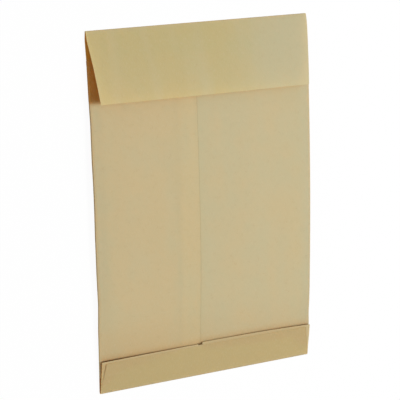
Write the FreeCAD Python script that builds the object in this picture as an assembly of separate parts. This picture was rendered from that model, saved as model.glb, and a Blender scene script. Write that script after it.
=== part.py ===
import FreeCAD, Part
import math
import os
from FreeCAD import Vector

# A gusseted, block-bottom paper envelope, folded flat and lying on its front panel, seam side up.
# It is one sheet: front panel, two inward-folded side gussets, two back panels lapped and glued
# along a centre seam, a block bottom folded up over the back, and a top flap folded loosely over.
# Millimetres. +X across the envelope, +Y towards the top flap, +Z up out of the seam side.
# The origin is at the middle of the underside of the whole shape's box.

# The sheet and its main panels
paper = 0.2
width = 254.0
length = 381.0
bow_rise = 5.3            # how far the middle of the front panel stands up off the table
panel_gap = 2.6           # front panel to back panel, from mid paper to mid paper
throat_depth = 30.0       # from the top fold down to the back panels' free edge

# Side gussets
gusset_depth = 35.0
side_fold_radius = 0.3

# Centre seam, with the left panel lapped over the right one
seam_offset = -9.0        # from the middle of the width to the left panel's cut edge
seam_lap = 22.0
seam_ramp = 4.0           # where the left panel climbs onto the right one

# Top flap
flap_length = 76.0
flap_taper = 6.5          # how far each side runs in at the free edge
flap_angle = 12.6
top_fold_radius = 1.3
flap_shoulder = 0.8       # how far in its sides start at the top fold

# Block bottom
base_depth = 36.2         # from the bottom fold to the base's upper fold, left of the seam
base_step = 1.6           # how much further the upper fold lies right of the seam
bottom_fold_radius = 1.25
crease_radius = 0.25
base_fold_radius = 0.3
glued_flap_depth = 33.8   # the outer flap glued over the base, up to its cut edge
glued_flap_taper = 5.0    # how far in its ends lie at the cut edge
glued_flap_end_length = 25.0  # up the base to where each end turns straight
glued_flap_heel = 6.0     # where it reaches the side
notch_width = 4.5
notch_depth = 1.6

half_paper = paper / 2
half_width = width / 2
half_gusset = gusset_depth / 2
step_x = seam_offset + notch_width / 2
left_turn = 1
right_turn = -1
touch = 1e-5

# The front panel's bow is an arc. Its centre is below the table, over the middle of the length.
bow_radius = (length / 2) ** 2 / (2 * bow_rise) + bow_rise / 2
bow_centre_y = length / 2
bow_centre_z = bow_rise - bow_radius


# Paths of folded paper in a plane. A path is a list of circles that the paper turns round, each
# (u, v, radius, turn). Its first and last entries are its ends, with no radius.

def signed_radius(circle, offset):
    return circle[3] * circle[2] - offset


def tangent(first, second, offset):
    du = second[0] - first[0]
    dv = second[1] - first[1]
    change = signed_radius(second, offset) - signed_radius(first, offset)
    reach = max(-1.0, min(1.0, change / math.hypot(du, dv)))
    heading = math.atan2(dv, du) - math.asin(reach)
    normal = (-math.sin(heading), math.cos(heading))
    ends = []
    for circle in (first, second):
        radius = signed_radius(circle, offset)
        ends.append((circle[0] - radius * normal[0], circle[1] - radius * normal[1]))
    return ends


def same_point(a, b):
    return math.hypot(a[0] - b[0], a[1] - b[1]) < touch


def span_between(first, second, offset):
    # two circles that touch have no straight between them
    start, end = tangent(first, second, offset)
    return (start, start) if same_point(start, end) else (start, end)


def arc_middle(circle, start, end, offset):
    radius = signed_radius(circle, offset)
    turn = left_turn if radius > 0 else right_turn
    a = math.atan2(start[1] - circle[1], start[0] - circle[0])
    b = math.atan2(end[1] - circle[1], end[0] - circle[0])
    sweep = (turn * (b - a)) % (2 * math.pi)
    middle = a + turn * sweep / 2
    return (circle[0] + abs(radius) * math.cos(middle), circle[1] + abs(radius) * math.sin(middle))


def path_side(path, offset, place):
    spans = [span_between(a, b, offset) for a, b in zip(path, path[1:])]
    edges = []
    for index, (start, end) in enumerate(spans):
        if index:
            before = spans[index - 1][1]
            if not same_point(before, start):
                middle = arc_middle(path[index], before, start, offset)
                edges.append(Part.Arc(place(before), place(middle), place(start)).toShape())
        if not same_point(start, end):
            edges.append(Part.LineSegment(place(start), place(end)).toShape())
    return edges, spans[0][0], spans[-1][1]


def paper_face(path, place):
    left, left_start, left_end = path_side(path, half_paper, place)
    right, right_start, right_end = path_side(path, -half_paper, place)
    caps = [
        Part.LineSegment(place(left_start), place(right_start)).toShape(),
        Part.LineSegment(place(left_end), place(right_end)).toShape(),
    ]
    wire = Part.Wire(Part.__sortEdges__(left + right + caps))
    return Part.Face(wire)


def side_view(point):
    return Vector(0, point[0], point[1])


def end_view(point):
    return Vector(point[0], bow_centre_y, point[1])


# Places on the bow: a level is a height above the front panel's mid paper.

def level_radius(level):
    return bow_radius + half_paper + level


def height_at(y, level):
    return bow_centre_z + math.sqrt(level_radius(level) ** 2 - (y - bow_centre_y) ** 2)


def bow_angle(y):
    return math.degrees(math.asin((y - bow_centre_y) / level_radius(panel_gap)))


def bow_circle(level, turn):
    return (bow_centre_y, bow_centre_z, level_radius(level), turn)


def fold_circle(y, level, radius, turn):
    return (y, height_at(y, level), radius, turn)


# The folds seen from the side, from the back panels round to the flap
throat_y = length - throat_depth
bottom_y = bottom_fold_radius + half_paper
crease_y = half_gusset + crease_radius
top_y = length - top_fold_radius - half_paper
bottom_fold = fold_circle(bottom_y, bottom_fold_radius, bottom_fold_radius, left_turn)
crease = fold_circle(crease_y, panel_gap + crease_radius, crease_radius, right_turn)
top_fold = fold_circle(top_y, top_fold_radius, top_fold_radius, left_turn)

# The base's line clears the crease by the width of its own upper fold
base_clearance = (crease[0], crease[1], crease_radius + 2 * base_fold_radius, left_turn)
base_high, base_low = tangent(base_clearance, bottom_fold, 0)
base_angle = math.atan2(base_high[1] - base_low[1], base_high[0] - base_low[0])
base_along = (math.cos(base_angle), math.sin(base_angle))
base_up = (-math.sin(base_angle), math.cos(base_angle))


def base_point(distance, height):
    # distance runs up the base from its bottom edge; height is off its mid paper
    run = distance - bottom_fold_radius
    return (
        base_low[0] + run * base_along[0] + height * base_up[0],
        base_low[1] + run * base_along[1] + height * base_up[1],
    )


def base_fold_circle(depth):
    centre = base_point(depth - base_fold_radius, -base_fold_radius)
    return (centre[0], centre[1], base_fold_radius, left_turn)


def extruded(face, start, end):
    face = face.translated(Vector(start, 0, 0))
    return face.extrude(Vector(end - start, 0, 0))


def swept_along_bow(face, start_y, end_y):
    axis = Vector(0, bow_centre_y, bow_centre_z)
    # turning about -X carries the top of the bow towards +Y
    start = face.copy()
    start.rotate(axis, Vector(-1, 0, 0), bow_angle(start_y))
    return start.revolve(axis, Vector(-1, 0, 0), bow_angle(end_y) - bow_angle(start_y))


def throat_end():
    y = throat_y
    return (y, height_at(y, panel_gap), 0, left_turn)


def back_and_base(depth, start, end):
    # back panel, crease, strip behind the base, upper fold, base and bottom fold
    path = [
        throat_end(),
        bow_circle(panel_gap, left_turn),
        crease,
        base_fold_circle(depth),
        bottom_fold,
        bow_circle(0, right_turn),
        (bow_centre_y, height_at(bow_centre_y, 0), 0, left_turn),
    ]
    return extruded(paper_face(path, side_view), start, end)


flap_slope = math.radians(flap_angle)
flap_along = (-math.cos(flap_slope), math.sin(flap_slope))
flap_up = (math.sin(flap_slope), math.cos(flap_slope))


def flap_point(distance, height):
    # distance runs down the flap from where it leaves the top fold
    return (
        top_fold[0] + distance * flap_along[0] + (top_fold_radius + height) * flap_up[0],
        top_fold[1] + distance * flap_along[1] + (top_fold_radius + height) * flap_up[1],
    )


def front_and_flap(start, end):
    free_edge = flap_point(flap_length, 0)
    path = [
        (bow_centre_y, height_at(bow_centre_y, 0), 0, left_turn),
        bow_circle(0, right_turn),
        top_fold,
        (free_edge[0], free_edge[1], 0, left_turn),
    ]
    return extruded(paper_face(path, side_view), start, end)


def slab(outline, point_at, low, high):
    # a sheet with its outline in (x, distance) on the plane that point_at follows
    def corner(x, distance, height):
        y, z = point_at(distance, height)
        return Vector(x, y, z)

    corners = [corner(x, distance, low) for x, distance in outline]
    face = Part.Face(Part.makePolygon(corners + corners[:1]))
    x, distance = outline[0]
    return face.extrude(corner(x, distance, high) - corner(x, distance, low))


def flap_side_offcut(side):
    beyond = half_width + paper
    past = flap_length + paper
    outline = [
        (side * beyond, 0),
        (side * (half_width - flap_shoulder), 0),
        (side * (half_width - flap_taper), past),
        (side * beyond, past),
    ]
    return slab(outline, flap_point, -paper, paper)


# Side gussets, built on the left and mirrored

def end_height(level):
    return height_at(bow_centre_y, level)


side_x = side_fold_radius + half_paper - half_width
front_side_fold = (side_x, end_height(side_fold_radius), side_fold_radius, right_turn)
back_side_fold = (side_x, end_height(panel_gap - side_fold_radius), side_fold_radius, right_turn)
inner_x = half_gusset - half_width - side_fold_radius - half_paper
inner_fold = (inner_x, end_height(panel_gap / 2), side_fold_radius, left_turn)


def gusset():
    path = [
        (side_x, end_height(0), 0, left_turn),
        front_side_fold,
        inner_fold,
        back_side_fold,
        (side_x, end_height(panel_gap), 0, left_turn),
    ]
    return swept_along_bow(paper_face(path, end_view), half_gusset, throat_y)


def upright(outline):
    # a tall prism on an outline in (x, y), used to keep one part of a folded ply
    points = [Vector(x, y, -length) for x, y in outline]
    face = Part.Face(Part.makePolygon(points + points[:1]))
    return face.extrude(Vector(0, 0, 2 * length))


def end_triangle(depth):
    # the gusset's lower end folds along two diagonals, from the base's corners to this point
    reach = base_fold_circle(depth)[0] + base_fold_radius + half_paper
    corner = -half_width
    return upright([(corner, 0), (corner, reach), (corner + half_gusset, half_gusset)])


def gusset_toe():
    # the front half of the gusset runs on below the crease, down to the bottom corner
    inner_end = tangent(front_side_fold, inner_fold, 0)[1]
    path = [
        (side_x, end_height(0), 0, left_turn),
        front_side_fold,
        (inner_end[0], inner_end[1], 0, left_turn),
    ]
    toe = swept_along_bow(paper_face(path, end_view), bottom_y, half_gusset)
    corner = -half_width - paper
    kept = upright([(corner, 0), (corner, gusset_depth), (corner + gusset_depth, gusset_depth)])
    return toe.common(kept)


def ply_height(line, x):
    (start_x, start_z), (end_x, end_z) = line
    return start_z + (end_z - start_z) * (x - start_x) / (end_x - start_x)


def base_height(y, height):
    run = (y - base_point(0, height)[0]) / base_along[0]
    return base_point(run, height)[1]


def between_sections(sections):
    wires = [paper_face(path, place).OuterWire for path, place in sections]
    return Part.makeLoft(wires, True, True)


def toe_fold_section(reach):
    # the half round that joins the gusset's toe to the ply under the base, across the diagonal
    x = reach - half_width
    level = ply_height(tangent(front_side_fold, inner_fold, 0), x) - end_height(0)
    low = height_at(reach, level)
    high = base_height(reach, -paper)
    radius = (high - low) / 2
    path = [(-paper, low, 0, left_turn), (0, low + radius, radius, left_turn), (-paper, high, 0, left_turn)]

    def place(point):
        across = point[0] * math.sqrt(0.5)
        return Vector(x + across, reach - across, point[1])

    return path, place


def toe_fold():
    return between_sections([toe_fold_section(bottom_y), toe_fold_section(half_gusset)])


def crease_wrap_section(x):
    # the gusset's back half turns round outside the back panel's crease and up behind the base
    level = ply_height(tangent(inner_fold, back_side_fold, 0), x) - end_height(0)
    low = height_at(half_gusset, level)
    high = base_height(half_gusset, paper - 2 * base_fold_radius)
    radius = (high - low) / 2
    beyond = half_gusset + paper
    path = [
        (beyond, low, 0, right_turn),
        (half_gusset, low + radius, radius, right_turn),
        (beyond, high, 0, right_turn),
    ]

    def place(point):
        return Vector(x, point[0], point[1])

    return path, place


def crease_wrap():
    return between_sections([crease_wrap_section(side_x), crease_wrap_section(inner_x)])


def base_end(depth):
    # at each end the gusset's folded triangles lie pressed between the strip and the base
    crease_distance = crease_y - base_low[0] + bottom_fold_radius
    strip_under = -2 * base_fold_radius - half_paper
    fold_distance = depth - base_fold_radius
    tip = base_point(depth + half_paper, -base_fold_radius)
    top = base_point(fold_distance, half_paper)
    under = base_point(fold_distance, strip_under)
    line_points = [
        under,
        base_point(crease_distance, strip_under),
        base_point(crease_distance, -paper - half_paper),
        base_point(bottom_fold_radius, -paper - half_paper),
        base_point(bottom_fold_radius, half_paper),
        top,
    ]
    edges = [Part.Arc(side_view(top), side_view(tip), side_view(under)).toShape()]
    for a, b in zip(line_points, line_points[1:]):
        edges.append(Part.LineSegment(side_view(a), side_view(b)).toShape())
    block = extruded(Part.Face(Part.Wire(edges)), -half_width, half_gusset - half_width)
    return block.common(end_triangle(depth))


def glued_flap():
    outline = [
        (half_width, bottom_fold_radius),
        (half_width, glued_flap_heel),
        (half_width - glued_flap_taper, glued_flap_end_length),
        (half_width - glued_flap_taper, glued_flap_depth),
    ]
    left = [(-x, distance) for x, distance in reversed(outline)]
    return slab(outline + left, base_point, 0, paper + half_paper)


def seam_lap_ply():
    seam_x = seam_offset
    hidden_x = seam_x - seam_lap
    top = panel_gap + paper + half_paper
    outline = [
        (hidden_x - seam_ramp, panel_gap),
        (hidden_x, top),
        (seam_x, top),
        (seam_x, panel_gap),
    ]
    points = [end_view((x, end_height(level))) for x, level in outline]
    face = Part.Face(Part.makePolygon(points + points[:1]))
    return swept_along_bow(face, crease_y + seam_ramp, throat_y)


def seam_notch():
    # a small nick in the upper fold where the seam meets it
    start = base_depth - notch_depth
    past = base_depth + base_step + paper
    outline = [
        (step_x - notch_width, start),
        (step_x, start),
        (step_x, past),
        (step_x - notch_width, past),
    ]
    return slab(outline, base_point, -2 * base_fold_radius - paper, paper)


def mirrored(shape):
    return shape.mirror(Vector(0, 0, 0), Vector(1, 0, 0))


def build_envelope():
    edge = -side_x
    left_base = back_and_base(base_depth, -edge, step_x)
    right_base = back_and_base(base_depth + base_step, step_x, edge)
    front = front_and_flap(-edge, edge)
    front = front.cut([flap_side_offcut(-1), flap_side_offcut(1)])
    plies = [
        right_base,
        front,
        base_end(base_depth),
        mirrored(base_end(base_depth + base_step)),
        seam_lap_ply(),
    ]
    for side_ply in (gusset(), gusset_toe(), toe_fold(), crease_wrap()):
        plies.append(side_ply)
        plies.append(mirrored(side_ply))
    sheet = left_base.fuse(plies)
    sheet = sheet.cut(seam_notch())
    sheet = sheet.fuse(glued_flap())
    return sheet.removeSplitter()


def lowest_point():
    return min(fold[1] - fold[2] for fold in (bottom_fold, top_fold)) - half_paper


os.makedirs("parts", exist_ok=True)
envelope = build_envelope()
envelope.translate(Vector(0, -length / 2, -lowest_point()))
envelope.exportStep("parts/envelope.step")
print("solids", len(envelope.Solids), "volume", round(envelope.Volume), "valid", envelope.isValid())
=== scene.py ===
import math

import bpy
import numpy as np
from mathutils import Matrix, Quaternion, Vector


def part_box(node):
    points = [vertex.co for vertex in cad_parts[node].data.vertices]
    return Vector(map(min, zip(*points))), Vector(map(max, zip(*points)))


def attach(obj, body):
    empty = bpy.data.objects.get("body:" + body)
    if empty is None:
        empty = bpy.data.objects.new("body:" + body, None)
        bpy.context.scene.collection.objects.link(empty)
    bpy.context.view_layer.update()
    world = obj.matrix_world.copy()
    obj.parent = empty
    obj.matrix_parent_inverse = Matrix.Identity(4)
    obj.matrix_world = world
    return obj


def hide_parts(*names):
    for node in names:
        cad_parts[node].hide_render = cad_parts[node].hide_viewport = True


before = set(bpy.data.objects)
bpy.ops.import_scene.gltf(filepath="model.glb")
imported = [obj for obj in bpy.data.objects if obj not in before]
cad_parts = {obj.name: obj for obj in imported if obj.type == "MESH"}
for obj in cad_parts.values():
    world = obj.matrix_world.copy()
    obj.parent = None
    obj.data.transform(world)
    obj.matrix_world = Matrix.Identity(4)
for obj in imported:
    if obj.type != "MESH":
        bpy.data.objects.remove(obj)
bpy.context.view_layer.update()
print("frame loaded")

mm = 0.001
nodeLow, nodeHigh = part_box("envelope")
width = (nodeHigh.x - nodeLow.x) / mm
length = (nodeHigh.y - nodeLow.y) / mm
halfWidth = width / 2
leftTurn = 1
rightTurn = -1


# Node helpers. Sums and products of sockets are written as Python expressions.

class Value:
    def __init__(self, maker, socket):
        self.maker = maker
        self.socket = socket

    def maths(self, operation, *values):
        inputs = dict(enumerate(values))
        return self.maker.node("ShaderNodeMath", {"operation": operation}, inputs).out()

    def __add__(self, other):
        return self.maths("ADD", self, other)

    def __sub__(self, other):
        return self.maths("SUBTRACT", self, other)

    def __rsub__(self, other):
        return self.maths("SUBTRACT", other, self)

    def __mul__(self, other):
        return self.maths("MULTIPLY", self, other)

    def __truediv__(self, other):
        return self.maths("DIVIDE", self, other)

    def __rtruediv__(self, other):
        return self.maths("DIVIDE", other, self)

    def clamped(self):
        return self.maker.node("ShaderNodeClamp", {}, {"Value": self}).out()

    __radd__ = __add__
    __rmul__ = __mul__


def findSocket(sockets, name):
    if isinstance(name, int):
        return sockets[name]
    return next(socket for socket in sockets if socket.name == name and socket.enabled)


class MadeNode:
    def __init__(self, maker, made):
        self.maker = maker
        self.made = made

    def out(self, name=None):
        if name is None:
            socket = next(socket for socket in self.made.outputs if socket.enabled)
        else:
            socket = findSocket(self.made.outputs, name)
        return Value(self.maker, socket)


class NodeMaker:
    def __init__(self, tree):
        self.tree = tree

    def node(self, kind, settings, inputs):
        made = self.tree.nodes.new(kind)
        for name, setting in settings.items():
            setattr(made, name, setting)
        for name, value in inputs.items():
            for part in value if isinstance(value, list) else [value]:
                self.feed(findSocket(made.inputs, name), part)
        return MadeNode(self, made)

    def feed(self, socket, value):
        if isinstance(value, MadeNode):
            value = value.out()
        if isinstance(value, Value):
            self.tree.links.new(value.socket, socket)
        else:
            socket.default_value = value


# The manila paper

paperLook = {
    "warm": (0.758, 0.718, 0.412, 1),        # pinkish clouds in the pulp
    "cool": (0.702, 0.728, 0.446, 1),        # greenish grey clouds
    "aged": (0.648, 0.650, 0.286, 1),        # the flap, which is a little greener
    "tanned": (0.625, 0.545, 0.272, 1),      # the base, browner in tone and partly painted shade
    "greyed": (0.600, 0.700, 0.475, 1),      # painted shade along the right edges, greyer and cooler
    "covered": (0.620, 0.330, 0.070, 1),     # painted shade: orange brown under the flap, in folds, above the base and on inner faces
    "through": (1.000, 0.740, 0.300, 1),     # light that comes through the sheet
    "throughOuter": 0.45,                    # how much comes through at its outer face
    "throughInner": 0.62,                    # and at its inner face
    "pale": (0.860, 0.850, 0.620, 1),        # pale streaks along the grain
    "fibre": (0.480, 0.400, 0.200, 1),       # single brown fibres
    "worn": (0.700, 0.670, 0.410, 1),        # rubbed fold lines, lighter as a painted highlight on their crowns
    "dusty": (0.150, 0.095, 0.040, 1),       # painted shade in gaps and at the glued flap's ends, and the seam's dark line
    "warmShare": 0.8,                        # how strongly the folded sheet's marks set the warmth
    "warmLevel": 0.1,
    "cloudScale": 26.0,                      # per metre, as all scales here are
    "cloudStrength": 2.0,
    "mottleScale": 160.0,
    "fibreScale": 600.0,
    "fibreSharpness": 20.0,
    "fibreContrast": 6.0,
    "fibreStrength": 0.35,
    "grainAcross": 1500.0,
    "grainAlong": 260.0,
    "grainStrength": 1.6,
    "bandAcross": 48.0,
    "bandAlong": 6.0,
    "bandStrength": 1.5,
    "agedContrast": 2.4,                     # how strongly the bands break up the aged colour
    "agedShift": 0.2,
    "wearMottle": 0.7,                       # how much of the wear, highlight and darkening follows the mottling
    "wearLevel": 0.2,
    "dustMottle": 0.4,
    "dustLevel": 0.7,
    "rimStrength": 0.6,                      # of the worn colour, painted highlight included, on cut edges
    "roughness": 0.82,
    "roughnessMottle": 0.16,
    "wearPolish": 0.06,                      # how much smoother rubbed paper is
    "specular": 0.32,
    "grainHeight": 0.6,                      # against 1 for the mottling
    "fibreHeight": 0.3,
    "bumpStrength": 0.3,
    "bumpDistance": 0.00012,                 # metres
}


def mixColour(maker, factor, first, second):
    settings = {"data_type": "RGBA", "clamp_factor": True}
    inputs = {"Factor": factor, "A": first, "B": second}
    return maker.node("ShaderNodeMix", settings, inputs).out("Result")


def makePaper():
    material = bpy.data.materials.new("manila_paper")
    material.use_nodes = True
    material.node_tree.nodes.clear()
    maker = NodeMaker(material.node_tree)

    def attribute(name, output="Fac"):
        return maker.node("ShaderNodeAttribute", {"attribute_name": name}, {}).out(output)

    def noise(place, scale, detail, roughness=0.5):
        inputs = {"Vector": place, "Scale": scale, "Detail": detail, "Roughness": roughness}
        return maker.node("ShaderNodeTexNoise", {}, inputs).out("Fac")

    sheetPlace = attribute("sheetPlace", "Vector")
    wear = attribute("wear")

    def stretched(across, along):
        inputs = {0: sheetPlace, 1: (across, along, 1)}
        return maker.node("ShaderNodeVectorMath", {"operation": "MULTIPLY"}, inputs).out()

    grainPlace = stretched(paperLook["grainAcross"], paperLook["grainAlong"])
    bandPlace = stretched(paperLook["bandAcross"], paperLook["bandAlong"])
    cloud = noise(sheetPlace, paperLook["cloudScale"], detail=2.0)
    mottle = noise(sheetPlace, paperLook["mottleScale"], detail=4.0, roughness=0.6)
    grain = noise(grainPlace, 1.0, detail=3.0, roughness=0.6)
    band = noise(bandPlace, 1.0, detail=1.0)
    strand = noise(sheetPlace, paperLook["fibreScale"], detail=1.0)
    offStrand = strand.maths("ABSOLUTE", strand - 0.5)
    onStrand = (1 - offStrand * paperLook["fibreSharpness"]).clamped()
    fibre = onStrand * ((mottle - 0.5) * paperLook["fibreContrast"]).clamped()

    clouds = (cloud - 0.5) * paperLook["cloudStrength"]
    bands = (band - 0.5) * paperLook["bandStrength"]
    warm = attribute("warm") * paperLook["warmShare"] + paperLook["warmLevel"]
    warmth = (warm + clouds + bands).clamped()
    colour = mixColour(maker, warmth, paperLook["cool"], paperLook["warm"])
    agedBands = (band * paperLook["agedContrast"] - paperLook["agedShift"]).clamped()
    colour = mixColour(maker, attribute("aged") * agedBands, colour, paperLook["aged"])
    # a browner tone on the base, and painted shade on the base and low on the back panels
    colour = mixColour(maker, attribute("tan"), colour, paperLook["tanned"])
    # painted shade along the right edges
    colour = mixColour(maker, attribute("grey"), colour, paperLook["greyed"])
    # painted shade: shaded places and every inner face take the orange brown shade colour
    hidden = (attribute("covered") + attribute("inner")).clamped()
    colour = mixColour(maker, hidden, colour, paperLook["covered"])
    streaks = ((grain - 0.5) * paperLook["grainStrength"]).clamped()
    colour = mixColour(maker, streaks, colour, paperLook["pale"])
    colour = mixColour(maker, fibre * paperLook["fibreStrength"], colour, paperLook["fibre"])
    # rubbed fold lines, lightened as a painted highlight on their crowns
    rubbed = (wear * (mottle * paperLook["wearMottle"] + paperLook["wearLevel"])).clamped()
    colour = mixColour(maker, rubbed, colour, paperLook["worn"])
    # painted shade in the gaps and at the glued flap's ends, and the seam's dark line
    dust = attribute("dust") * (mottle * paperLook["dustMottle"] + paperLook["dustLevel"])
    colour = mixColour(maker, dust, colour, paperLook["dusty"])
    colour = mixColour(maker, attribute("rim") * paperLook["rimStrength"], colour, paperLook["worn"])

    roughness = paperLook["roughness"] + (mottle - 0.5) * paperLook["roughnessMottle"]
    height = grain * paperLook["grainHeight"] + mottle + fibre * paperLook["fibreHeight"]
    inputs = {
        "Strength": paperLook["bumpStrength"],
        "Distance": paperLook["bumpDistance"],
        "Height": height,
    }
    bump = maker.node("ShaderNodeBump", {}, inputs)
    inputs = {
        "Base Color": colour,
        "Roughness": roughness - wear * paperLook["wearPolish"],
        "Specular IOR Level": paperLook["specular"],
        "Normal": bump,
    }
    shader = maker.node("ShaderNodeBsdfPrincipled", {}, inputs)
    through = maker.node("ShaderNodeBsdfTranslucent", {}, {"Color": paperLook["through"]})
    more = paperLook["throughInner"] - paperLook["throughOuter"]
    factor = attribute("inner") * more + paperLook["throughOuter"]
    mixed = maker.node("ShaderNodeMixShader", {}, {"Fac": factor, 1: shader, 2: through})
    maker.node("ShaderNodeOutputMaterial", {}, {"Surface": mixed})
    return material


# Folding. The paper turns round circles (u, v, radius, turn), with a plain point at each end.

def tangentEnds(first, second):
    change = second[3] * second[2] - first[3] * first[2]
    du = second[0] - first[0]
    dv = second[1] - first[1]
    reach = max(-1.0, min(1.0, change / math.hypot(du, dv)))
    heading = math.atan2(dv, du) - math.asin(reach)
    normal = (-math.sin(heading), math.cos(heading))
    ends = []
    for circle in (first, second):
        radius = circle[3] * circle[2]
        ends.append((circle[0] - radius * normal[0], circle[1] - radius * normal[1]))
    return np.array(ends)


def foldPath(circles, runSteps, arcSteps):
    # the points along the path, and 1 for each point on a fold
    spans = [tangentEnds(a, b) for a, b in zip(circles, circles[1:])]
    points = [spans[0][0]]
    onFold = [0.0]
    for index, (start, end) in enumerate(spans):
        for step in range(1, runSteps[index] + 1):
            points.append(start + (end - start) * step / runSteps[index])
            onFold.append(0.0)
        if index + 1 == len(spans):
            break
        u, v, radius, turn = circles[index + 1]
        after = spans[index + 1][0]
        a = math.atan2(end[1] - v, end[0] - u)
        b = math.atan2(after[1] - v, after[0] - u)
        sweep = (turn * (b - a)) % (2 * math.pi)
        for step in range(1, arcSteps + 1):
            angle = a + turn * sweep * step / arcSteps
            points.append(np.array((u + radius * math.cos(angle), v + radius * math.sin(angle))))
            onFold.append(1.0)
    return np.array(points), np.array(onFold)


def ease(low, high, value):
    share = np.clip((value - low) / (high - low), 0, 1)
    return share * share * (3 - 2 * share)


def steps(start, end, spacing):
    return max(1, round(abs(end - start) / spacing))


def spread(start, end, spacing):
    return np.linspace(start, end, steps(start, end, spacing) + 1)


# The outline isn't quite square. Each pair is a y and how far the side edge comes in there, in
# millimetres, and a negative one stands out. Here and below, a range is where something begins
# and where it is in full.

outline = {
    "leftPull": [
        (70, 0), (98, 0.8), (130, 0.1), (170, 0), (205, 0.4), (225, 0.4), (250, 0.1), (287, 0.5),
        (315, 0), (345, 0), (372, -0.6), (381, 0.2),
    ],
    "rightPull": [
        (0, 1.7), (12, 1.4), (26, 0.7), (38, 0.5), (50, 0.8), (62, 0.2), (80, 0),
        (345, 0), (372, -0.5), (381, 0.2),
    ],
    "pullPower": 4,              # a higher one keeps the pull closer to the side edges
    "topSkew": 0.5,              # the top fold is higher by this at its right end, lower at its left
    "topSkewRange": (330, 381),
}


def pullOutline(x, y):
    leftPull = np.interp(y, *zip(*outline["leftPull"]))
    rightPull = np.interp(y, *zip(*outline["rightPull"]))
    share = np.clip(np.abs(x) / halfWidth, 0, 1) ** outline["pullPower"]
    skew = outline["topSkew"] * x / halfWidth * ease(*outline["topSkewRange"], y)
    return x - np.sign(x) * share * np.where(x < 0, leftPull, rightPull), y + skew


class SheetMesh:
    # gathers grids of points, which are welded later where their borders meet
    def __init__(self):
        self.points = []
        self.faces = []
        self.places = []
        names = ("wear", "dust", "warm", "aged", "tan", "grey", "covered", "slack")
        self.marks = {name: [] for name in names}

    def grid(self, points, across, along, flip=False, **marks):
        # across and along say where each point lies on the flat sheet
        shape = points.shape[:2]
        first = sum(len(block) for block in self.points)
        self.points.append(points.reshape(-1, 3))
        place = [np.broadcast_to(part, shape) for part in (across, along, 0.0)]
        self.places.append(np.stack(place, axis=-1).reshape(-1, 3))
        for name, blocks in self.marks.items():
            blocks.append(np.broadcast_to(marks.get(name, 0.0), shape).reshape(-1))
        index = first + np.arange(shape[0] * shape[1]).reshape(shape)
        corners = [index[:-1, :-1], index[:-1, 1:], index[1:, 1:], index[1:, :-1]]
        if flip:
            corners.reverse()
        self.faces.append(np.stack(corners, axis=-1).reshape(-1, 4))

    def build(self, name):
        mesh = bpy.data.meshes.new(name)
        points = np.concatenate(self.points)
        points[:, 0], points[:, 1] = pullOutline(points[:, 0], points[:, 1])
        points = (points - (0, length / 2, 0)) * mm
        mesh.from_pydata(points.tolist(), [], np.concatenate(self.faces).tolist())
        for mark, blocks in self.marks.items():
            attribute = mesh.attributes.new(mark, "FLOAT", "POINT")
            attribute.data.foreach_set("value", np.concatenate(blocks).astype(np.float32))
        places = (np.concatenate(self.places) * mm).astype(np.float32)
        attribute = mesh.attributes.new("sheetPlace", "FLOAT_VECTOR", "POINT")
        attribute.data.foreach_set("vector", places.ravel())
        piece = bpy.data.objects.new(name, mesh)
        bpy.context.scene.collection.objects.link(piece)
        return piece


# The pocket, in millimetres: front panel, gussets and lapped back panels. y runs from the bottom
# edge to the top fold over a flat table, and the node tree adds the bow of the whole envelope.

pocket = {
    "paper": 0.2,
    "sideFoldRadius": 0.3,
    "sideStart": 1.0,            # from a side fold to the plain ends of its path
    "sideRows": [1, 5, 5, 1],
    "gussetDepth": 17.5,
    "leftGap": [(0, 2.3), (60, 2.2), (190, 2.9), (320, 3.0), (381, 2.4)],      # (y, front to back)
    "rightGap": [(0, 2.2), (60, 1.7), (190, 3.2), (320, 4.0), (381, 3.4)],
    "crown": 1.3,                # how much further the back stands up at its seam
    "crownPower": 1.7,
    "sideRoll": 0.9,             # how far it rolls down to its side folds
    "sideRollWidth": 14.0,
    "freeRange": (38, 130),      # y where the base no longer holds the back down
    "slackWidth": 24.0,          # from the side folds to where the back is loose
    "slackRange": (36, 70),
    "seamX": -9.0,
    "seamLap": 22.0,
    "lapRise": 0.26,
    "lapRiseWidth": 4.0,
    "seamCurl": 0.16,            # the cut edge stands a little proud
    "seamCurlWidth": 5.0,
    "seamCurlRange": (30, 60),
    "dustWidth": 0.6,            # of the dark line along it
    "dust": 0.4,
    "throat": 351.0,
    "creaseY": 17.9,
    "spacing": 3.2,              # of the mesh over the panels
    "fineSpacing": 0.7,          # of its rows just above the base
    "fineReach": 2.1,
    "coarseFrom": 4.0,           # above the base, where the wide rows begin again
    "firstRow": 2.0,
    "seamColumn": 2.0,           # of the mesh beside the seam
    "foldSteps": 5,
}
sideX = halfWidth - pocket["sideFoldRadius"] - pocket["paper"] / 2
gussetX = sideX - pocket["gussetDepth"]
lapStart = pocket["seamX"] - pocket["seamLap"]


def gapAt(side, y):
    knots = pocket["rightGap"] if side > 0 else pocket["leftGap"]
    return float(np.interp(y, *zip(*knots)))


def backLevel(x, y):
    # height of the right back panel above the front panel
    share = (x + sideX) / (2 * sideX)
    level = gapAt(-1, y) * (1 - share) + gapAt(1, y) * share
    reach = np.clip(np.abs(x - pocket["seamX"]) / (halfWidth + pocket["seamX"]), 0, 1)
    crown = pocket["crown"] * (1 - reach ** pocket["crownPower"])
    roll = 1 - ease(0, pocket["sideRollWidth"], halfWidth - np.abs(x))
    return level + ease(*pocket["freeRange"], y) * (crown + pocket["sideRoll"] * (1 - roll))


def lapLevel(x, y):
    # how far the left back panel stands over that
    beside = ease(pocket["seamX"] - pocket["seamCurlWidth"], pocket["seamX"], x)
    curl = pocket["seamCurl"] * beside * ease(*pocket["seamCurlRange"], y)
    return pocket["lapRise"] * ease(lapStart - pocket["lapRiseWidth"], lapStart, x) + curl


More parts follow.
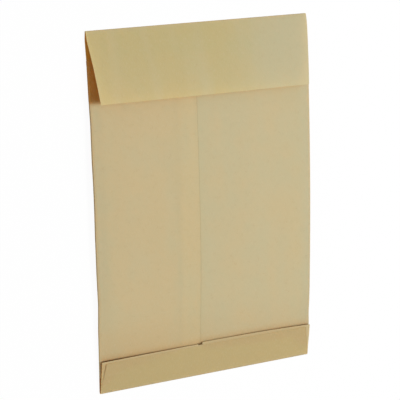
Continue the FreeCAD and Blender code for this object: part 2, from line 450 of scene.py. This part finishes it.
def sideFolds(side, y):
    # from the back panel's edge round the inward gusset to the front panel's edge, as (x, z)
    radius = pocket["sideFoldRadius"]
    gap = gapAt(side, y)
    circles = [
        (sideX - pocket["sideStart"], gap, 0, rightTurn),
        (sideX, gap - radius, radius, rightTurn),
        (gussetX, gap / 2, radius, leftTurn),
        (sideX, radius, radius, rightTurn),
        (sideX - pocket["sideStart"], 0, 0, rightTurn),
    ]
    points, onFold = foldPath(circles, pocket["sideRows"], pocket["foldSteps"])
    return points[1:-1] * (side, 1), onFold[1:-1]


def frontPlace(x):
    # where a line of the front panel lies across the flat sheet
    return (sideX - lapStart) + 2 * pocket["gussetDepth"] + (sideX - x)


def leftPlace(x):
    return frontPlace(-sideX) + 2 * pocket["gussetDepth"] + (x + sideX)


def panelSlack(x, y):
    inwards = ease(0, pocket["slackWidth"], halfWidth - np.abs(x))
    return inwards * ease(*pocket["slackRange"], y)


# Painted shade, and the tones of the pocket's faces. Reaches are heights above the base's
# upper fold, and widths are from the side edges.

pocketMarks = {
    "gapDust": 0.95,             # painted shade in the gap behind the base's upper fold
    "gapDustDrop": 0.68,         # how much lighter the painted shade is outside the gap
    "gapDropReach": (-0.1, 0.5),
    "gapFadeReach": (0.6, 1.8),
    "covered": 0.37,             # painted shade just above the base, from where it fades in two stretches
    "coveredDrop": 0.27,
    "coveredDropReach": (0, 9),
    "coveredFade": 0.1,
    "coveredFadeReach": (0, 45),
    # painted shade, darker and browner, near the base and more to the left
    "tan": 0.25,
    "tanReach": (0, 60),
    "tanWidth": 16.0,            # at the right side, where it has ended
    # painted shade along the right side
    "grey": 0.45,
    "greyWidth": 16.0,
    "gussetWidth": 1.6,          # from the side fold to where the painted shade inside the gusset is full
    # painted shade under the flap begins at these y
    "underFlapRange": (304, 312),
    "leftWarmWidth": (-4, 22),
    "rightWarm": 0.25,
    "rightWarmRange": (150, 330),    # y where its warmth fades
}


def addPocket(sheet):
    # one ring of points for each y
    spacing = pocket["spacing"]
    fine = pocket["fineSpacing"]
    ys = np.concatenate([
        [pocket["creaseY"]],
        spread(pocket["creaseY"] + pocket["firstRow"], base["leftDepth"], spacing),
        spread(base["leftDepth"] + fine, base["rightDepth"] + pocket["fineReach"], fine),
        spread(base["rightDepth"] + pocket["coarseFrom"], pocket["throat"], spacing),
    ])
    rightX = np.concatenate([lapColumns, rightColumns[1:-1]])
    frontX = frontColumns[1:-1]
    leftX = leftColumns[1:]
    rings, onFolds, gussets, backs = [], [], [], []
    for y in ys:
        rightSide, rightFold = sideFolds(1, y)
        leftSide, leftFold = sideFolds(-1, y)
        blocks = [
            (np.stack([rightX, backLevel(rightX, y)], axis=-1), 0 * rightX, 0, 1),
            (rightSide, rightFold, 1, 0),
            (np.stack([frontX, 0 * frontX], axis=-1), 0 * frontX, 0, 0),
            (leftSide[::-1], leftFold[::-1], 1, 0),
            (np.stack([leftX, backLevel(leftX, y) + lapLevel(leftX, y)], axis=-1), 0 * leftX, 0, 1),
        ]
        ring = np.concatenate([block[0] for block in blocks])
        rings.append(np.insert(ring, 1, y, axis=1))
        onFolds.append(np.concatenate([block[1] for block in blocks]))
        gussets.append(np.concatenate([np.full(len(block[0]), block[2]) for block in blocks]))
        backs.append(np.concatenate([np.full(len(block[0]), block[3]) for block in blocks]))
    rings = np.array(rings)
    onFolds = np.array(onFolds)
    strides = np.hypot(np.diff(rings[..., 0], axis=1), np.diff(rings[..., 2], axis=1))
    across = np.concatenate([np.zeros((len(ys), 1)), np.cumsum(strides, axis=1)], axis=1)
    xs = rings[..., 0]
    rowYs = ys[:, None]
    isBack = np.array(backs)
    isGusset = np.array(gussets)

    # how far up the base reaches at each point, with a slope along the notch
    byStep = np.clip(1 - (base["stepX"] - xs) / base["notchWidth"], 0, 1)
    leftDepths = base["leftDepth"] + (base["rightDepth"] - base["leftDepth"]) * byStep
    depths = np.where(xs < base["stepX"], leftDepths, rightDepth(xs))

    def above(reach):
        return ease(depths + reach[0], depths + reach[1], rowYs)

    # painted shade inside the gussets, under the flap and just above the base
    inGusset = isGusset * ease(0, pocketMarks["gussetWidth"], halfWidth - np.abs(xs))
    underFlap = (isBack + isGusset) * ease(*pocketMarks["underFlapRange"], rowYs)
    drop = pocketMarks["coveredDrop"] * above(pocketMarks["coveredDropReach"])
    fade = pocketMarks["coveredFade"] * above(pocketMarks["coveredFadeReach"])
    nearBase = isBack * (pocketMarks["covered"] - drop - fade)
    # painted shade in the gap behind the base's upper fold and in the notch beside its step
    thinner = pocketMarks["gapDustDrop"] * above(pocketMarks["gapDropReach"])
    gapDust = (pocketMarks["gapDust"] - thinner) * (1 - above(pocketMarks["gapFadeReach"]))
    seamDust = pocket["dust"] * np.clip(1 - np.abs(xs - pocket["seamX"]) / pocket["dustWidth"], 0, 1)
    # painted shade near the base, stronger to the left
    tan = pocketMarks["tan"] * (1 - above(pocketMarks["tanReach"]))
    leftWarm = ease(*pocketMarks["leftWarmWidth"], halfWidth + xs)
    rightWarm = pocketMarks["rightWarm"] * (1 - ease(*pocketMarks["rightWarmRange"], rowYs))
    sheet.grid(
        rings, across, rowYs,
        wear=onFolds * (1 - inGusset) * (1 - underFlap),
        dust=isBack * np.maximum(seamDust, gapDust),
        warm=np.where(xs < pocket["seamX"], leftWarm, rightWarm),
        # painted shade along the right side
        grey=pocketMarks["grey"] * ease(sideX - pocketMarks["greyWidth"], sideX, xs),
        tan=isBack * tan * (1 - ease(-sideX, sideX - pocketMarks["tanWidth"], xs)),
        covered=np.maximum(np.maximum(underFlap, nearBase), inGusset),
        slack=panelSlack(xs, rowYs),
    )


# The top flap, with the front panel's last stretch from the throat to the top fold

topFlap = {
    "foldRadius": 1.3,
    "length": 73.0,
    "leftLift": 16.7,            # its free corners, above the bowed table line
    "rightLift": 15.3,
    "belly": 0.9,
    "shoulder": 0.1,             # how far its sides lie in at the top fold
    "taper": 6.5,                # and at its cut edge
    "slack": 1.2,
    "slackShare": 0.5,           # of its length, by which it is fully loose
    "foldSteps": 10,
    "wear": 0.8,
    "aged": 0.7,
    "agedDrop": 0.85,            # how much less aged its right half is
    "agedDropRange": (0.5, 1),   # shares of its width, from the left
    "agedFade": 0.3,             # how much less aged its cut edge is
    # painted shade on its right part and right edge
    "grey": 0.45,
    "greyRange": (0.55, 0.95),
    "edgeGrey": 0.3,
    "edgeGreyRange": (0.97, 1),
}


def addTopFlap(sheet):
    radius = topFlap["foldRadius"]
    topY = length - radius - pocket["paper"] / 2
    spacing = pocket["spacing"]
    runSteps = [steps(pocket["throat"], topY, spacing), steps(0, topFlap["length"], spacing)]
    rows = sum(runSteps) + topFlap["foldSteps"] + 1
    count = np.arange(rows)
    flapShare = np.clip((count - runSteps[0] - topFlap["foldSteps"]) / runSteps[1], 0, 1)
    turned = np.clip((count - runSteps[0]) / (topFlap["foldSteps"] / 2), 0, 1)
    inset = topFlap["shoulder"] + (topFlap["taper"] - topFlap["shoulder"]) * flapShare
    halfRow = sideX - turned * (inset - (halfWidth - sideX))
    columns = []
    for x in frontColumns:
        share = (x + sideX) / (2 * sideX)
        lift = topFlap["leftLift"] * (1 - share) + topFlap["rightLift"] * share
        run = math.sqrt(topFlap["length"] ** 2 - (lift - 2 * radius) ** 2)
        circles = [
            (pocket["throat"], 0, 0, leftTurn),
            (topY, radius, radius, leftTurn),
            (topY - run, lift, 0, leftTurn),
        ]
        path, onFold = foldPath(circles, runSteps, topFlap["foldSteps"])
        height = path[:, 1] + topFlap["belly"] * np.sin(math.pi * flapShare)
        columns.append(np.stack([x / sideX * halfRow, path[:, 0], height], axis=-1))
    points = np.stack(columns, axis=1)
    strides = np.hypot(np.diff(path[:, 0]), np.diff(path[:, 1]))
    along = pocket["throat"] + np.concatenate([[0], np.cumsum(strides)])
    rightShare = (frontColumns + sideX) / (2 * sideX)
    aged = topFlap["aged"] * (1 - topFlap["agedDrop"] * ease(*topFlap["agedDropRange"], rightShare))
    grey = topFlap["grey"] * ease(*topFlap["greyRange"], rightShare)
    edgeGrey = topFlap["edgeGrey"] * ease(*topFlap["edgeGreyRange"], rightShare)
    sheet.grid(
        points, frontPlace(frontColumns), along[:, None],
        wear=onFold[:, None] * topFlap["wear"],
        aged=turned[:, None] * aged * (1 - topFlap["agedFade"] * flapShare[:, None]),
        warm=1 - rightShare,
        grey=turned[:, None] * (grey + edgeGrey),
        slack=topFlap["slack"] * ease(0, topFlap["slackShare"], flapShare)[:, None],
    )


# The block bottom: the base with its folds, and the outer flap glued over it

base = {
    "bottomRadius": 1.25,
    "foldRadius": 0.3,
    "creaseRadius": 0.13,
    "creaseStep": 0.01,          # from the crease's start to the middle of its bend
    "leftDepth": 36.2,
    "rightDepth": 37.8,
    "leftLift": 6.0,             # its upper fold, above the bowed table line
    "middleLift": 3.3,
    "rightLift": 4.3,
    "liftPower": 1.6,
    "stepX": -7.5,               # where the upper fold steps, a little right of the seam
    "notchWidth": 5.0,           # of the notch beside the step, on its left
    "notchDepth": 1.1,
    "notchSlope": 0.1,           # width of its steep left end
    "rightDrop": 2.0,            # how much lower the upper fold is at its right end
    "dropPower": 3,
    "leftInset": 0.9,            # how far its left end lies in from the side
    "insetPower": 6,
    "lowerEnd": 0.6,             # where its face ends, above the middle of the bottom fold's bend
    "lowerDrop": 0.02,           # how far it ends below the top of that bend
    "rows": [1, 5, 11],          # of the mesh: to the crease, up the hidden strip, down the face
    "rowLength": 2.5,            # of the flat sheet, roughly
    "foldSteps": 5,
    # a browner tone, partly painted shade
    "tan": 0.95,
    "tanDrop": 0.7,              # how much lighter its right end is, outside the painted shade
    "tanDropFrom": 8.0,          # from the right side fold
    "tanDropBy": 3.0,
    "warm": 0.5,
}
gluedFlap = {
    "depth": 33.8,
    "taper": 5.6,                # how far its ends run in, in a straight line
    "heel": 4.0,                 # where they begin to, above the bottom fold
    "endRise": 0.35,             # its upper corners have come a little unstuck
    "endRiseWidth": 22.0,
    # painted shadow along its tapered ends
    "dustWidth": 0.9,
    "dust": 0.75,
    "wear": 0.5,
    "rows": [6, 12],             # of the mesh, under and over the bottom fold
    "foldSteps": 10,
}


# Columns of the mesh, closer together beside the seam, at the notch's end and at the side folds

foldStretch = (base["stepX"] + sideX) / (pocket["seamX"] + sideX)
notchColumn = (base["stepX"] - base["notchWidth"] + sideX) / foldStretch - sideX
endColumns = sideX - gluedFlap["dustWidth"]
frontColumns = np.concatenate([[sideX], spread(endColumns, -endColumns, pocket["spacing"]), [-sideX]])
leftColumns = np.concatenate([
    spread(-sideX, notchColumn - base["notchSlope"] / 2, pocket["spacing"]),
    [notchColumn + base["notchSlope"] / 2],
    pocket["seamX"] - np.array([pocket["seamColumn"], pocket["dustWidth"], 0]),
])
rightColumns = np.concatenate([
    [pocket["seamX"], pocket["seamX"] + pocket["dustWidth"]],
    spread(pocket["seamX"] + pocket["seamColumn"], sideX, pocket["spacing"]),
])
lapColumns = spread(lapStart, pocket["seamX"], pocket["spacing"])


def baseLift(x):
    end = base["rightLift"] if x > 0 else base["leftLift"]
    return base["middleLift"] + (end - base["middleLift"]) * abs(x / halfWidth) ** base["liftPower"]


def addGluedFlap(sheet):
    # from the front panel round the bottom fold and up over the base
    radius = base["bottomRadius"]
    cutShare = gluedFlap["depth"] / base["leftDepth"]
    columns = []
    for x in frontColumns:
        endRise = gluedFlap["endRise"] * ease(halfWidth - gluedFlap["endRiseWidth"], halfWidth, abs(x))
        cutLevel = 2 * radius + (baseLift(x) - 2 * radius) * cutShare + pocket["paper"] + endRise
        circles = [
            (pocket["creaseY"], 0, 0, rightTurn),
            (radius + pocket["paper"] / 2, radius, radius, rightTurn),
            (gluedFlap["depth"], cutLevel, 0, rightTurn),
        ]
        path, onFold = foldPath(circles, gluedFlap["rows"], gluedFlap["foldSteps"])
        columns.append(path)
    paths = np.stack(columns, axis=1)
    isUp = np.arange(len(path)) > gluedFlap["rows"][0] + gluedFlap["foldSteps"] / 2
    distance = np.where(isUp, path[:, 0], -path[:, 0])
    endShare = (distance - gluedFlap["heel"]) / (gluedFlap["depth"] - gluedFlap["heel"])
    endShare = np.clip(endShare, 0, 1)[:, None]
    x = frontColumns / sideX * (sideX - endShare * gluedFlap["taper"])
    isEnd = np.abs(frontColumns) > (endColumns + sideX) / 2
    # painted shadow along its tapered ends
    sheet.grid(
        np.concatenate([x[..., None], paths], axis=-1),
        frontPlace(frontColumns), -distance[:, None], flip=True,
        wear=onFold[:, None] * gluedFlap["wear"],
        dust=endShare * isEnd * gluedFlap["dust"],
        tan=isUp[:, None] * base["tan"],
        warm=base["warm"],
    )


def addBase(sheet, columnsX, depthAt, fixedX, place, lap):
    # from the back panels round the crease, up the hidden strip, over the upper fold and down
    radius = base["foldRadius"]
    creaseRadius = base["creaseRadius"]
    creaseY = pocket["creaseY"]
    stretch = (base["stepX"] - fixedX) / (pocket["seamX"] - fixedX)
    foldColumns = fixedX + (columnsX - fixedX) * stretch
    columns = []
    for x, foldX in zip(columnsX, foldColumns):
        level = float(backLevel(x, creaseY) + lap * lapLevel(x, creaseY))
        lowerY = base["bottomRadius"] + base["lowerEnd"]
        lowerLevel = 2 * base["bottomRadius"] - base["lowerDrop"]
        circles = [
            (creaseY, level, 0, rightTurn),
            (creaseY - base["creaseStep"], level + creaseRadius, creaseRadius, rightTurn),
            (depthAt(foldX) - radius, baseLift(x) - radius, radius, leftTurn),
            (lowerY, lowerLevel, 0, leftTurn),
        ]
        path, onFold = foldPath(circles, base["rows"], base["foldSteps"])
        columns.append(path)
    paths = np.stack(columns, axis=1)
    count = np.arange(len(path))[:, None]
    foldRow = base["rows"][0] + base["foldSteps"] + base["rows"][1]
    faceRow = foldRow + base["foldSteps"]
    risen = np.clip((count - base["foldSteps"]) / base["rows"][1], 0, 1)
    descended = np.clip((count - faceRow) / base["rows"][2], 0, 1)
    atLeft = np.clip(-foldColumns / sideX, 0, 1) ** base["insetPower"]
    inset = base["leftInset"] * risen * (1 - descended) * atLeft
    x = columnsX * (1 - risen) + foldColumns * risen + inset
    onTop = count > (foldRow + faceRow) / 2
    drop = ease(sideX - base["tanDropFrom"], sideX - base["tanDropBy"], foldColumns)
    sheet.grid(
        np.concatenate([x[..., None], paths], axis=-1),
        place, creaseY - base["rowLength"] * count, flip=True,
        # wear on the upper fold's crown, lightened there as a painted highlight
        wear=onFold[:, None] * onTop,
        tan=base["tan"] * (1 - base["tanDrop"] * drop) * onTop,
        # painted shade on the hidden strip behind the base
        covered=1.0 - onTop,
        warm=base["warm"],
    )


# The gusset's lower corner, whose front half runs on towards the corner of the bottom

toe = {
    "spacing": 1.2,
    "margin": 0.4,               # from the bottom fold, and past its diagonal fold
    "rows": [4, 1],
    "placeShift": 10.0,          # across the flat sheet, roughly
    # painted shade inside the folded toe
    "covered": 0.8,
}


def addToe(sheet, side):
    radius = pocket["sideFoldRadius"]
    ys = spread(pocket["creaseY"], base["bottomRadius"] + toe["margin"], toe["spacing"])
    rows = []
    for y in ys:
        inner = max(gussetX, halfWidth - y - toe["margin"])
        circles = [
            (inner, gapAt(side, y) / 2 - radius, 0, rightTurn),
            (sideX, radius, radius, rightTurn),
            (sideX - pocket["sideStart"], 0, 0, rightTurn),
        ]
        path, _ = foldPath(circles, toe["rows"], pocket["foldSteps"])
        rows.append(np.insert(path[:-1] * (side, 1), 1, y, axis=1))
    across = frontPlace(side * sideX) + side * toe["placeShift"]
    sheet.grid(np.array(rows), across, ys[:, None], flip=side > 0, covered=toe["covered"])


def leftDepth(x):
    inNotch = x > base["stepX"] - base["notchWidth"]
    return base["leftDepth"] - inNotch * base["notchDepth"]


def rightDepth(x):
    return base["rightDepth"] - base["rightDrop"] * np.clip(x / sideX, 0, 1) ** base["dropPower"]


def foldSheet():
    sheet = SheetMesh()
    addPocket(sheet)
    addTopFlap(sheet)
    addGluedFlap(sheet)
    addBase(sheet, leftColumns, leftDepth, -sideX, leftPlace(leftColumns), 1)
    addBase(sheet, rightColumns, rightDepth, sideX, rightColumns - lapStart, 0)
    addToe(sheet, 1)
    addToe(sheet, -1)
    return sheet.build("folded_sheet")


# The node tree that bows the sheet, waves it and gives it its thickness

bend = {
    "Bow Rise": 5.3 * mm,
    "Half Length": length * mm / 2,
    "Table Level": 0.1 * mm,
    "Wave Height": 2.2 * mm,
    "Wave Across": 16.0,
    "Wave Along": 5.0,
    "Crumple Height": 0.35 * mm,
    "Crumple Scale": 55.0,
    "Paper Thickness": pocket["paper"] * mm,
    "Seed": 4.0,
}
weldDistance = 0.02 * mm
rimWeldDistance = 0.01 * mm


def makeBendTree():
    tree = bpy.data.node_groups.new("bentPaper", "GeometryNodeTree")
    tree.interface.new_socket("Geometry", in_out="INPUT", socket_type="NodeSocketGeometry")
    for name in bend:
        tree.interface.new_socket(name, in_out="INPUT", socket_type="NodeSocketFloat")
    tree.interface.new_socket("Paper", in_out="INPUT", socket_type="NodeSocketMaterial")
    tree.interface.new_socket("Geometry", in_out="OUTPUT", socket_type="NodeSocketGeometry")
    maker = NodeMaker(tree)
    given = maker.node("NodeGroupInput", {}, {})

    def store(geometry, name, value):
        settings = {"data_type": "FLOAT", "domain": "FACE"}
        inputs = {"Geometry": geometry, "Name": name, "Value": value}
        return maker.node("GeometryNodeStoreNamedAttribute", settings, inputs)

    def noise(place, scale, seed):
        inputs = {"Vector": place, "W": seed, "Scale": scale, "Detail": 2.0}
        return maker.node("ShaderNodeTexNoise", {"noise_dimensions": "4D"}, inputs).out("Fac") - 0.5

    def vector(**parts):
        return maker.node("ShaderNodeCombineXYZ", {}, parts).out()

    def named(name):
        inputs = {"Name": name}
        found = maker.node("GeometryNodeInputNamedAttribute", {"data_type": "FLOAT"}, inputs)
        return found.out("Attribute")

    def weld(geometry, distance):
        inputs = {"Geometry": geometry, "Distance": distance}
        return maker.node("GeometryNodeMergeByDistance", {}, inputs)

    def shade(geometry, domain, smooth):
        inputs = {"Geometry": geometry, "Shade Smooth": smooth}
        return maker.node("GeometryNodeSetShadeSmooth", {"domain": domain}, inputs)

    # the bow follows the length and lifts every ply alike, and only slack panels wave and crumple
    position = maker.node("GeometryNodeInputPosition", {}, {}).out()
    apart = maker.node("ShaderNodeSeparateXYZ", {}, {"Vector": position})
    x, y = apart.out("X"), apart.out("Y")
    share = y / given.out("Half Length")
    bow = (1 - share * share) * given.out("Bow Rise") + given.out("Table Level")
    wavePlace = vector(X=x * given.out("Wave Across"), Y=y * given.out("Wave Along"))
    waves = noise(wavePlace, 1.0, given.out("Seed")) * given.out("Wave Height")
    crumpleSeed = given.out("Seed") + 3
    crumples = noise(vector(X=x, Y=y), given.out("Crumple Scale"), crumpleSeed)
    lift = bow + (waves + crumples * given.out("Crumple Height")) * named("slack")
    inputs = {"Geometry": given.out("Geometry"), "Offset": vector(Z=lift)}
    bowed = maker.node("GeometryNodeSetPosition", {}, inputs)
    welded = weld(bowed, weldDistance)

    # half the thickness goes to each side of the mid surface
    normal = maker.node("GeometryNodeInputNormal", {}, {})
    half = given.out("Paper Thickness") * -0.5
    inward = maker.node("ShaderNodeVectorMath", {"operation": "SCALE"}, {0: normal, "Scale": half})
    under = maker.node("GeometryNodeSetPosition", {}, {"Geometry": welded, "Offset": inward})
    inputs = {"Mesh": under, "Offset Scale": given.out("Paper Thickness"), "Individual": False}
    raised = maker.node("GeometryNodeExtrudeMesh", {"mode": "FACES"}, inputs)
    outer = store(store(raised.out("Mesh"), "rim", raised.out("Side")), "inner", 0.0)
    flipped = maker.node("GeometryNodeFlipFaces", {}, {"Mesh": under})
    inner = store(store(flipped, "rim", 0.0), "inner", 1.0)
    joined = maker.node("GeometryNodeJoinGeometry", {}, {"Geometry": [outer, inner]})
    closed = weld(joined, rimWeldDistance)
    rim = named("rim")
    notRim = rim.maths("LESS_THAN", rim, 0.1)    # false on every edge that a rim face meets
    shaded = shade(shade(closed, "FACE", notRim), "EDGE", notRim)
    realized = maker.node("GeometryNodeRealizeInstances", {}, {"Geometry": shaded})
    inputs = {"Geometry": realized, "Material": given.out("Paper")}
    done = maker.node("GeometryNodeSetMaterial", {}, inputs)
    maker.node("NodeGroupOutput", {}, {"Geometry": done})
    return tree


def bakeNodes(piece, tree, values):
    modifier = piece.modifiers.new(tree.name, "NODES")
    modifier.node_group = tree
    for item in tree.interface.items_tree:
        if item.in_out == "INPUT" and item.name in values:
            modifier[item.identifier] = values[item.name]
    depsgraph = bpy.context.evaluated_depsgraph_get()
    baked = bpy.data.meshes.new_from_object(piece.evaluated_get(depsgraph), depsgraph=depsgraph)
    piece.modifiers.clear()
    piece.data = baked
    baked.name = piece.name


envelope = foldSheet()
print("sheet folded,", len(envelope.data.polygons), "faces")
bakeNodes(envelope, makeBendTree(), {**bend, "Paper": makePaper()})
print("sheet bowed and thickened,", len(envelope.data.polygons), "faces")
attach(envelope, "root")
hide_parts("envelope")


# Floor, light and camera

studio = {
    "floorSize": 6.0,
    "floorColour": (0.86, 0.86, 0.86, 1),
    "floorWhite": 0.95,           # how much of the floor is plain white to the camera
    "keySize": 1.05,
    "keyPlace": (1.25, 0.06, 2.4),
    "keyPower": 51.0,
    "worldStrength": 0.5,
}


def makeFloor():
    mesh = bpy.data.meshes.new("floor")
    reach = studio["floorSize"] / 2
    corners = [(-reach, -reach, 0), (reach, -reach, 0), (reach, reach, 0), (-reach, reach, 0)]
    mesh.from_pydata(corners, [], [(0, 1, 2, 3)])
    floor = bpy.data.objects.new("floor", mesh)
    bpy.context.scene.collection.objects.link(floor)
    material = bpy.data.materials.new("floorWhite")
    material.use_nodes = True
    material.node_tree.nodes.clear()
    maker = NodeMaker(material.node_tree)
    seen = maker.node("ShaderNodeLightPath", {}, {})
    diffuse = maker.node("ShaderNodeBsdfDiffuse", {}, {"Color": studio["floorColour"]})
    white = maker.node("ShaderNodeEmission", {}, {"Strength": 1.0})
    factor = (seen.out("Is Camera Ray") + seen.out("Is Glossy Ray")).clamped() * studio["floorWhite"]
    mixed = maker.node("ShaderNodeMixShader", {}, {"Fac": factor, 1: diffuse, 2: white})
    maker.node("ShaderNodeOutputMaterial", {}, {"Surface": mixed})
    mesh.materials.append(material)


def makeWorld():
    world = bpy.data.worlds.new("studio")
    world.use_nodes = True
    world.node_tree.nodes.clear()
    maker = NodeMaker(world.node_tree)
    seen = maker.node("ShaderNodeLightPath", {}, {}).out("Is Camera Ray")
    white = (1, 1, 1, 1)
    dim = maker.node("ShaderNodeBackground", {}, {"Color": white, "Strength": studio["worldStrength"]})
    bright = maker.node("ShaderNodeBackground", {}, {"Color": white, "Strength": 1.0})
    mixed = maker.node("ShaderNodeMixShader", {}, {"Fac": seen, 1: dim, 2: bright})
    maker.node("ShaderNodeOutputWorld", {}, {"Surface": mixed})
    bpy.context.scene.world = world


def makeKeyLight():
    light = bpy.data.lights.new("key", "AREA")
    light.shape = "DISK"
    light.size = studio["keySize"]
    light.energy = studio["keyPower"]
    key = bpy.data.objects.new("key", light)
    key.location = studio["keyPlace"]
    key.rotation_mode = "QUATERNION"
    key.rotation_quaternion = (-key.location).to_track_quat("-Z", "Y")
    bpy.context.scene.collection.objects.link(key)


view = {
    "target": (-0.0059, 0.0039, 0.005),
    "azimuth": -117.07,
    "elevation": 60.75,
    "distance": 1.5502,
    "roll": 112.57,
    "lens": 132.58,
}


def makeCamera():
    azimuth = math.radians(view["azimuth"])
    elevation = math.radians(view["elevation"])
    level = math.cos(elevation)
    back = Vector((math.sin(azimuth) * level, -math.cos(azimuth) * level, math.sin(elevation)))
    data = bpy.data.cameras.new("camera")
    data.lens = view["lens"]
    camera = bpy.data.objects.new("camera", data)
    camera.location = Vector(view["target"]) + back * view["distance"]
    camera.rotation_mode = "QUATERNION"
    roll = Quaternion((0, 0, 1), math.radians(view["roll"]))
    camera.rotation_quaternion = (-back).to_track_quat("-Z", "Y") @ roll
    bpy.context.scene.collection.objects.link(camera)
    bpy.context.scene.camera = camera


makeFloor()
makeWorld()
makeKeyLight()
makeCamera()
bpy.context.scene.view_settings.view_transform = "Standard"
print("floor, light and camera placed")
